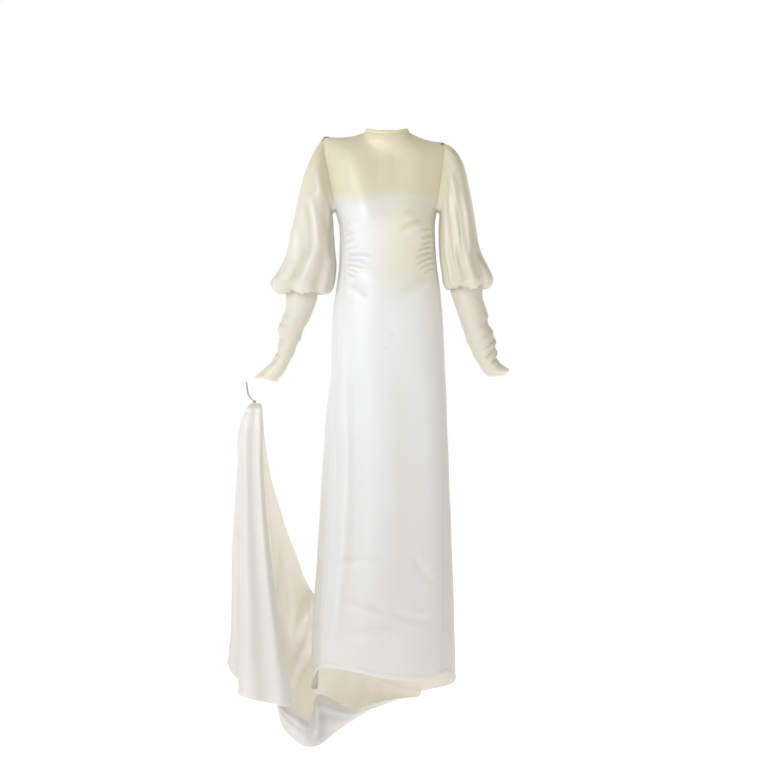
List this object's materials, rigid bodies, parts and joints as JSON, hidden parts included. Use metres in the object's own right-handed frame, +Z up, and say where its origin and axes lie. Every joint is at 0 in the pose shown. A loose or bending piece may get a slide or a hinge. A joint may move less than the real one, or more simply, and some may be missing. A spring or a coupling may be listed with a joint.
{
  "type": "wedding dress",
  "caption": "Long ivory satin wedding dress in its worn form, with balloon sleeves over close sleeves, gathered side seams and a train lifted by a loop.",
  "frame": {"origin": "where the wearer's shoulders hold the dress: midway between them, at the level of the right shoulder's tip", "axes": "+Z up, front of the dress towards -Y, +X towards the wearer's left"},
  "size_m": [0.7042, 0.3304, 1.5488],
  "materials": {
    "satin": "ivory silk satin with a soft gloss, and a duller golden reverse",
    "button": "small dark polished button",
    "cord": "thin twisted silk cord"
  },
  "bodies": {
    "root": {"neck_binding": "satin", "front_panel": "satin", "side_panel_right": "satin", "side_panel_left": "satin", "back_panel_right": "satin", "back_panel_left": "satin", "upper_sleeve_right": "satin", "upper_sleeve_left": "satin", "lower_sleeve_right": "satin", "lower_sleeve_left": "satin", "train_pouch": "satin", "train_fall": "satin", "shoulder_tab_right": "satin", "shoulder_button_left": "button", "train_loop": "cord", "loop_knot": "cord"}
  },
  "joints": []
}
